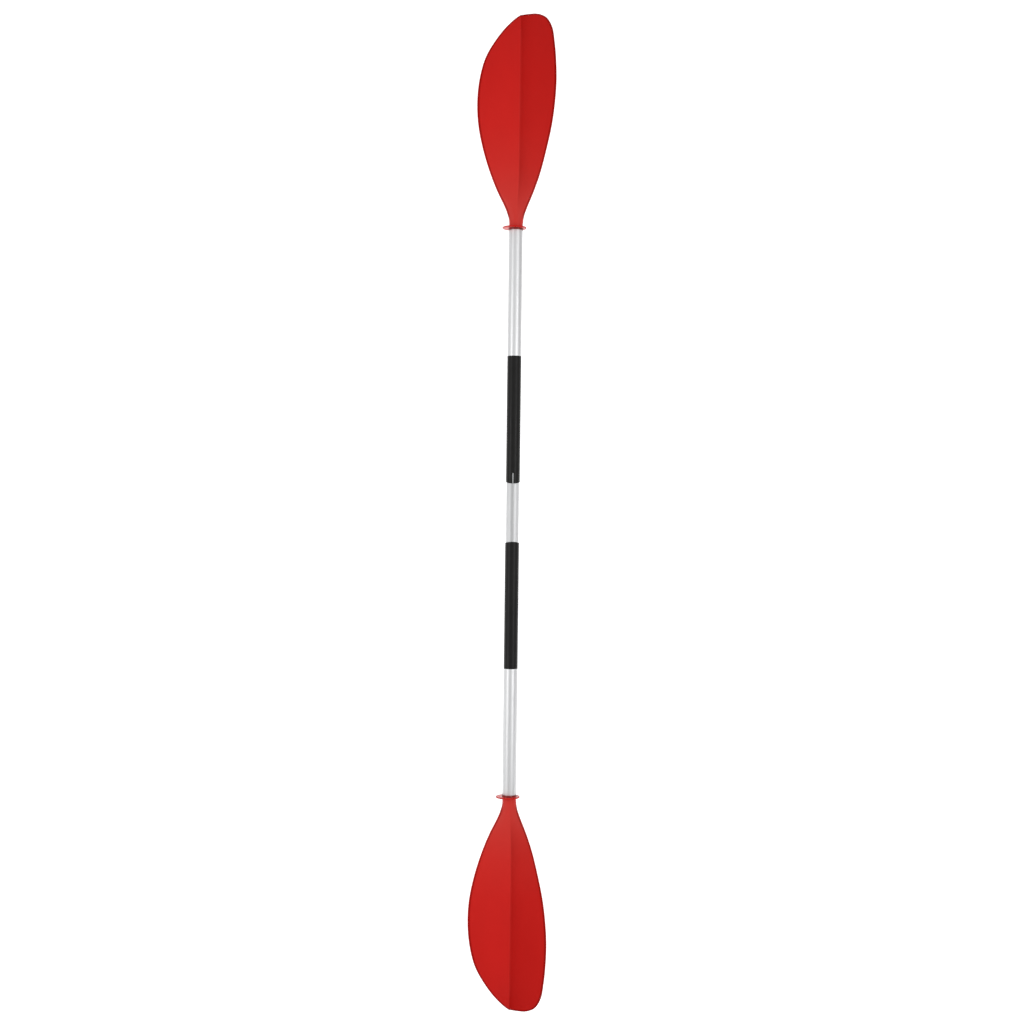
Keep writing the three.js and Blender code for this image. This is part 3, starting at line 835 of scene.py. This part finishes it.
def snap_button():
    """The drawn button, which goes in and out, and the V spring behind it."""
    base = CLIP["y"] - CLIP["thickness"] / 2
    profile = [
        (0, base), (BUTTON["radius"], base), (BUTTON["radius"], BUTTON["proud"] - BUTTON["dome"]),
        (BUTTON["radius"] * 0.72, BUTTON["proud"] - BUTTON["dome"] * 0.25), (0, BUTTON["proud"]),
    ]
    points, faces = turned_solid(rounded(profile, 0.9 * MM, 5, closed=False), BUTTON["segments"])
    button = new_object("snap_button", [(x, out, BUTTON_Z - y) for x, y, out in points], faces)
    dress(button, "spring_steel", "button", "snap_button_clip")
    spring = new_object("snap_spring", *spring_shape())
    spring.data.materials.append(MATERIALS["spring_steel"])
    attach(spring, "lower_half")
    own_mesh(spring)


def spring_shape():
    """A V-shaped strip: a line down one leg, round the bend and down the other, given width."""
    foot, knee, bend, thick = (CLIP[k] for k in ("foot", "knee", "bend", "thickness"))
    leg, curl = CLIP["y"] - thick / 2, CLIP["pinch"] - thick / 2
    line = [(leg, foot), (leg, knee)]
    for k in range(CLIP["bend_steps"] + 1):
        angle = math.pi * k / CLIP["bend_steps"]
        line.append((curl * math.cos(angle), bend + curl * math.sin(angle)))
    line += [(-leg, knee), (-leg, foot)]
    line = np.array(rounded(line, 4 * MM, 5, closed=False))
    along = np.gradient(line, axis=0)
    across = np.column_stack([-along[:, 1], along[:, 0]]) / np.linalg.norm(along, axis=1)[:, None]
    half, edge = CLIP["width"] / 2, CLIP["edge"]
    shoulder = 0.5 - edge / thick
    loop = [(-half, shoulder), (-half + edge, 0.5), (half - edge, 0.5), (half, shoulder)]
    loop += [(x, -offset) for x, offset in reversed(loop)]
    sections = []
    for place, normal in zip(line, across):
        sections.append([(x, *(place + normal * offset * thick)) for x, offset in loop])
    count = len(loop)
    points = [p for section in sections for p in section]
    faces = [tuple(reversed(range(count))), tuple(range(len(points) - count, len(points)))]
    for row in range(len(sections) - 1):
        here, there = row * count, (row + 1) * count
        for k in range(count):
            on = (k + 1) % count
            faces.append((here + k, here + on, there + on, there + k))
    return points, faces


# ---- stage, light and camera ----

VIEW_DISTANCE = 3.383
VIEW_SHIFT = (-1.15 * MM, 0.9 * MM)
VIEW_LENS, SENSOR_WIDTH = 51.3, 36
VIEW_ROLL = math.radians(0.68)
FLOOR_DROP = 0.45
COVE = {"front": -14, "wall": 6.5, "bend": 2.0, "half_width": 15, "height": 12, "steps": 12}
GLOW = {"start": -0.1, "end": 1, "strength": 0.55}
WORLD_STRENGTH = 1.0
SKY = [(0.0, 0.9), (0.1, 0.68), (0.3, 0.47), (0.6, 0.48), (0.85, 1.0)]
SKY_TURN = math.radians(18)
KEY = {"place": (-2.65, -2.05, 0.1), "size": (1.0, 3.0), "power": 27}
FILL = {"place": (2.2, -2.45, 0.1), "size": (0.7, 2.9), "power": 21}


def stage():
    """A wide, plain, pale floor below the lower tip, which curves up into a wall far behind."""
    floor, bend, wall = CAD_BOX[0].z - FLOOR_DROP, COVE["bend"], COVE["wall"]
    line = [(COVE["front"], floor), (wall - bend, floor)]
    for k in range(1, COVE["steps"] + 1):
        angle = math.pi / 2 * k / COVE["steps"]
        line.append((wall - bend + bend * math.sin(angle), floor + bend * (1 - math.cos(angle))))
    line.append((wall, floor + COVE["height"]))
    corners = [(side * COVE["half_width"], y, z) for y, z in line for side in (-1, 1)]
    faces = [(2 * k, 2 * k + 1, 2 * k + 3, 2 * k + 2) for k in range(len(line) - 1)]
    cove = new_object("cove", corners, faces)
    paint = Paint("studio_white", specular_ior_level=0.05, emission_color=(1, 1, 1, 1))
    tone = paint.ramp(paint.noise(0.6, 2), [(0.3, 0.86), (0.7, 0.89)])
    behind = paint.along("Y", GLOW["start"], GLOW["end"])
    glow = paint.ramp(behind, [(0.0, 0.0), (1.0, GLOW["strength"])])
    paint.link(glow, paint.shader.inputs["Emission Strength"])
    tone = paint.mix(behind, paint.mix(0.3, tone, (0.35, 0.35, 0.35)), tone)
    roughness = paint.ramp(paint.noise(3, 2), [(0.3, 0.7), (0.7, 0.8)])
    cove.data.materials.append(paint.finish(tone, roughness))


def softbox(name, place, size, power):
    """A tall rectangular light that faces the middle of the paddle."""
    light = bpy.data.lights.new(name, "AREA")
    light.shape, light.size, light.size_y, light.energy = "RECTANGLE", *size, power
    lamp = bpy.data.objects.new(name, light)
    bpy.context.scene.collection.objects.link(lamp)
    lamp.location = place
    x, y, z = place
    lamp.rotation_euler = (math.pi / 2 - math.atan2(z, math.hypot(x, y)), 0, math.atan2(x, -y))


def lights():
    softbox("key", **KEY)
    softbox("fill", **FILL)
    sky()


def sky():
    """A grey studio sky that is brightest before and behind the paddle, turned a little to one side."""
    world = bpy.data.worlds.new("studio")
    world.use_nodes = True
    bpy.context.scene.world = world
    tree = world.node_tree
    background = tree.nodes["Background"]
    direction = tree.nodes.new("ShaderNodeTexCoord").outputs["Generated"]
    turned_sky = tree.nodes.new("ShaderNodeMapping")
    turned_sky.inputs["Rotation"].default_value = (0, 0, -SKY_TURN)
    tree.links.new(direction, turned_sky.inputs["Vector"])
    split = tree.nodes.new("ShaderNodeSeparateXYZ")
    tree.links.new(turned_sky.outputs["Vector"], split.inputs["Vector"])
    spread = tree.nodes.new("ShaderNodeMapRange")
    spread.inputs["From Min"].default_value = -1
    tree.links.new(split.outputs["Y"], spread.inputs["Value"])
    ramp = tree.nodes.new("ShaderNodeValToRGB")
    tree.links.new(spread.outputs["Result"], ramp.inputs["Fac"])
    while len(ramp.color_ramp.elements) < len(SKY):
        ramp.color_ramp.elements.new(0.5)
    for element, (position, grey) in zip(ramp.color_ramp.elements, SKY):
        element.position, element.color = position, (grey, grey, grey, 1)
    tree.links.new(ramp.outputs["Color"], background.inputs["Color"])
    background.inputs["Strength"].default_value = WORLD_STRENGTH


def camera():
    data = bpy.data.cameras.new("camera")
    data.lens, data.sensor_width = VIEW_LENS, SENSOR_WIDTH
    eye = bpy.data.objects.new("camera", data)
    bpy.context.scene.collection.objects.link(eye)
    eye.location = (VIEW_SHIFT[0], -VIEW_DISTANCE, VIEW_SHIFT[1])
    eye.rotation_mode = "XYZ"
    eye.rotation_euler = (math.pi / 2, -VIEW_ROLL, 0)
    bpy.context.scene.camera = eye


camera()
stage()
lights()
blades()
shaft_tubes()
centre_tube()
grips()
drip_rings()
rivets()
seal_ring()
caps_and_bungs()
snap_button()
bpy.context.scene.view_settings.view_transform = "Standard"
